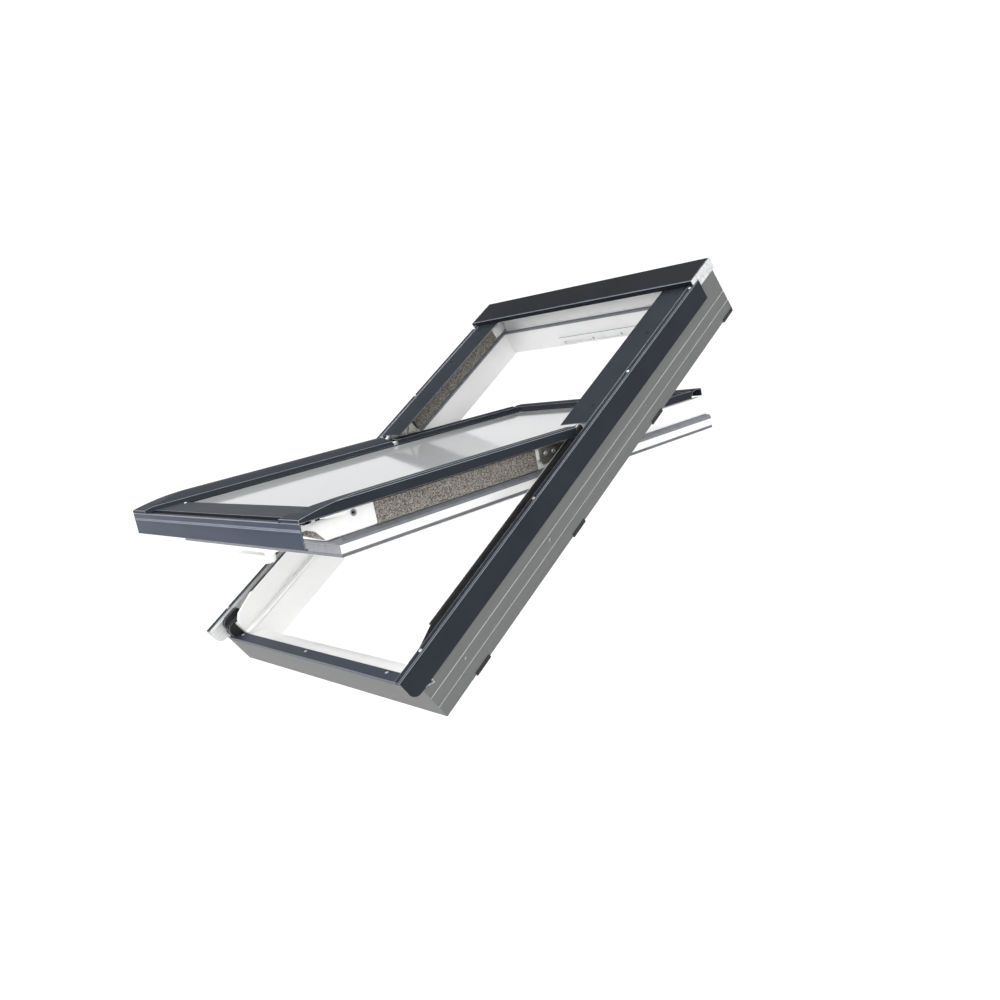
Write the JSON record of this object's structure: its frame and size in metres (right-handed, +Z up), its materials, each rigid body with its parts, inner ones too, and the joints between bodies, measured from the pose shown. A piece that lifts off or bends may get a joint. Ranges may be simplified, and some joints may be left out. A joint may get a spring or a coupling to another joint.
{
  "type": "centre-pivot roof window",
  "caption": "Leaned centre-pivot roof window, sash swung open: white plastic frame and sash, folded dark metal covers, double glazing, vent strip and handle.",
  "frame": {"origin": "middle of the sill's back face, which lies on the roof battens", "axes": "+X across the window to the right seen from outside, +Z up; the window leans back at a 45 degree pitch, its low end towards -Y and its outside face towards -Y and up"},
  "size_m": [0.7836, 1.1259, 0.939],
  "materials": {
    "white_pvc": "satin",
    "grey_lining": "satin, fine grain",
    "anthracite_sheet": "satin powder coat",
    "zinc_steel": "zinc plated",
    "black_plastic": "matt",
    "brown_foam": "open-cell foam, speckled",
    "grey_gasket": "matt",
    "black_gasket": "matt",
    "glass": "clear",
    "spacer_aluminium": "dull"
  },
  "bodies": {
    "frame": {"left_jamb": "white_pvc", "right_jamb": "white_pvc", "frame_head": "white_pvc", "frame_sill": "white_pvc", "left_lining": "grey_lining", "right_lining": "grey_lining", "head_lining": "grey_lining", "sill_lining": "grey_lining", "left_outer_cover": "anthracite_sheet", "right_outer_cover": "anthracite_sheet", "left_frame_cover": "anthracite_sheet", "right_frame_cover": "anthracite_sheet", "top_casing": "anthracite_sheet", "left_casing_bracket": "zinc_steel", "right_casing_bracket": "zinc_steel", "sill_flashing": "anthracite_sheet", "left_end_plug": "black_plastic", "right_end_plug": "black_plastic", "left_frame_foam": "brown_foam", "right_frame_foam": "brown_foam", "frame_gasket": "grey_gasket", "head_blocks": "white_pvc", "ventilator_housing": "white_pvc", "back_clips": "black_plastic", "frame_cover_screws": "zinc_steel", "sill_screws": "zinc_steel", "left_hinge_plate": "zinc_steel", "right_hinge_plate": "zinc_steel", "hinge_plate_screws": "zinc_steel", "latch_keeper": "zinc_steel"},
    "sash": {"left_stile": "white_pvc", "right_stile": "white_pvc", "top_rail": "white_pvc", "bottom_rail": "white_pvc", "outer_pane": "glass", "inner_pane": "glass", "pane_spacer": "spacer_aluminium", "glazing_gasket": "black_gasket", "left_sash_cover": "anthracite_sheet", "right_sash_cover": "anthracite_sheet", "left_upper_sash_cover": "anthracite_sheet", "right_upper_sash_cover": "anthracite_sheet", "sash_top_cover": "anthracite_sheet", "sash_bottom_cover": "anthracite_sheet", "left_sash_foam": "brown_foam", "right_sash_foam": "brown_foam", "left_end_piece": "white_pvc", "right_end_piece": "white_pvc", "insulation_wedges": "brown_foam", "sash_outer_gasket": "grey_gasket", "sash_inner_gasket": "grey_gasket", "left_hinge_carriage": "zinc_steel", "right_hinge_carriage": "zinc_steel", "carriage_bolts": "zinc_steel", "hinge_blocks": "white_pvc", "sash_cover_screws": "zinc_steel", "handle_base": "white_pvc"},
    "handle": {"handle_lever": "white_pvc"},
    "latch": {"latch_bolt": "zinc_steel"},
    "shutter": {"ventilator_shutter": "white_pvc"}
  },
  "joints": [
    {"name": "sash_pivot", "type": "hinge", "parent": "frame", "child": "sash", "pos_m": [0, 0.32455, 0.548], "axis": [-1, 0, 0], "range_deg": [-30.2, 66]},
    {"name": "handle_turn", "type": "hinge", "parent": "sash", "child": "handle", "pos_m": [0, -0.16586, 0.255], "axis": [0, 0.2554, -0.9668], "range_deg": [0, 90]},
    {"name": "latch_slide", "type": "slide", "parent": "sash", "child": "latch", "axis": [0, -0.9668, -0.2554], "range_m": [0, 0.016]},
    {"name": "shutter_slide", "type": "slide", "parent": "frame", "child": "shutter", "axis": [1, 0, 0], "range_m": [-0.06, 0]}
  ],
  "couplings": [
    {"joint": "latch_slide", "follows": "handle_turn", "m_per_rad": 0.010185}
  ]
}
